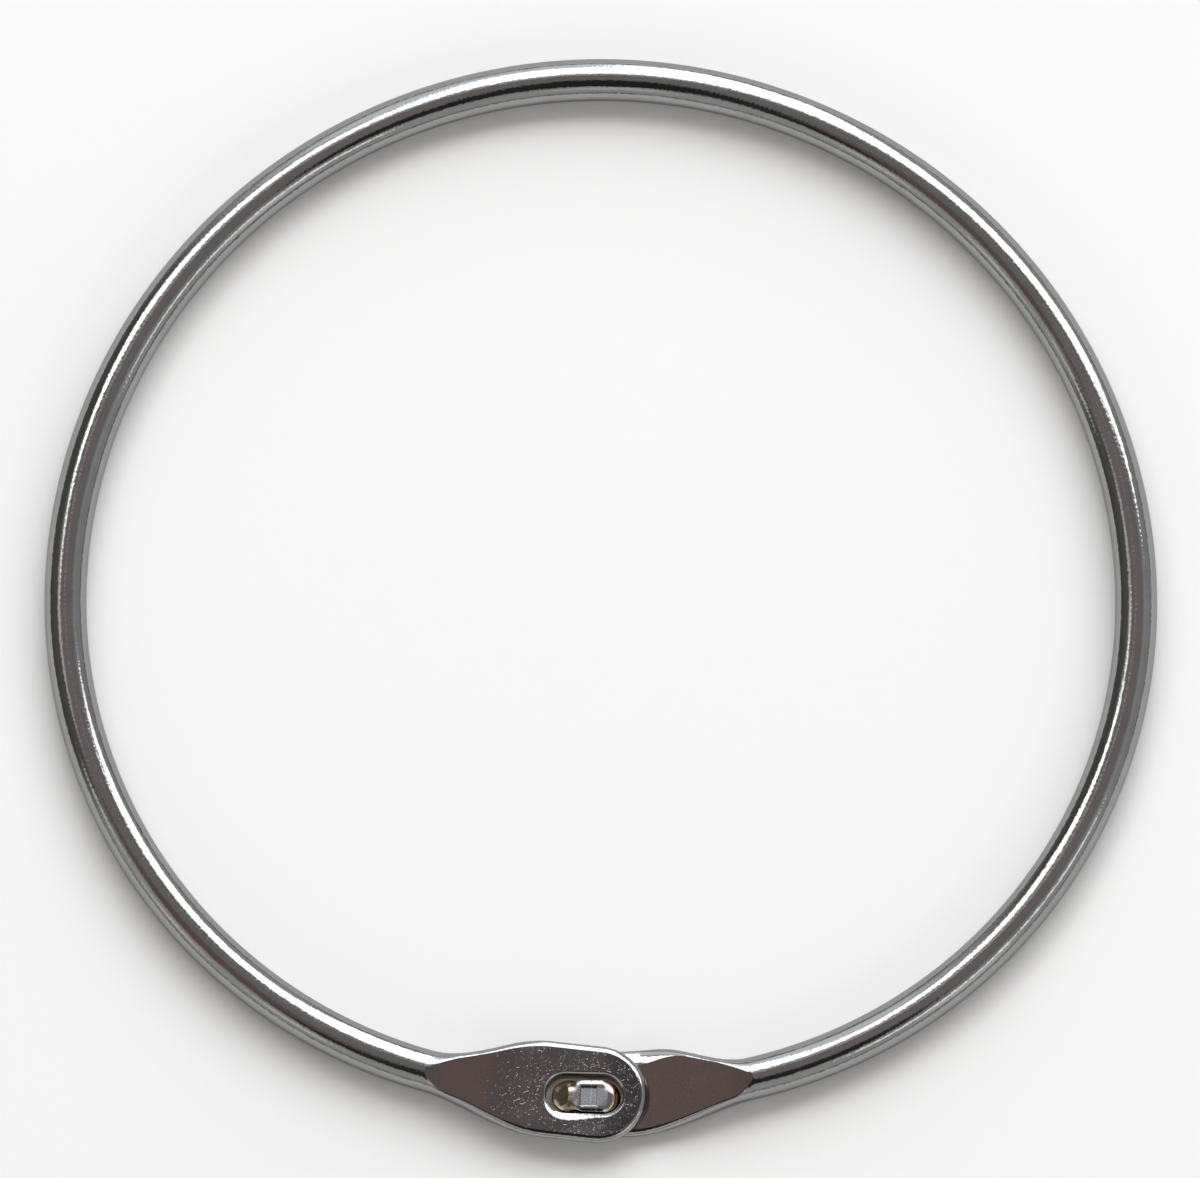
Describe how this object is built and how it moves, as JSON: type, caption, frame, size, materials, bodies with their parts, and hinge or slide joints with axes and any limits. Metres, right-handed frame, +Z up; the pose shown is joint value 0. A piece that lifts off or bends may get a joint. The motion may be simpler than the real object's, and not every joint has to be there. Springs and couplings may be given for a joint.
{
  "type": "binder ring",
  "caption": "Round nickel-plated steel wire binder ring whose flattened ends overlap and snap together, nib through slot.",
  "frame": {"origin": "on the surface the ring lies on, below the centre of the bow's half circle, which is the centre of the ring's box", "axes": "+Z up from the surface the ring lies on, +Y from the clasp to the bow, +X across the ring, towards the side whose wire end carries the nib"},
  "size_m": [0.1, 0.0996, 0.0038],
  "materials": {
    "plated_steel": "bright nickel plate on drawn steel wire, with fine scratches on the pressed faces round the slot"
  },
  "bodies": {
    "root": {"ring": "plated_steel"}
  },
  "joints": []
}
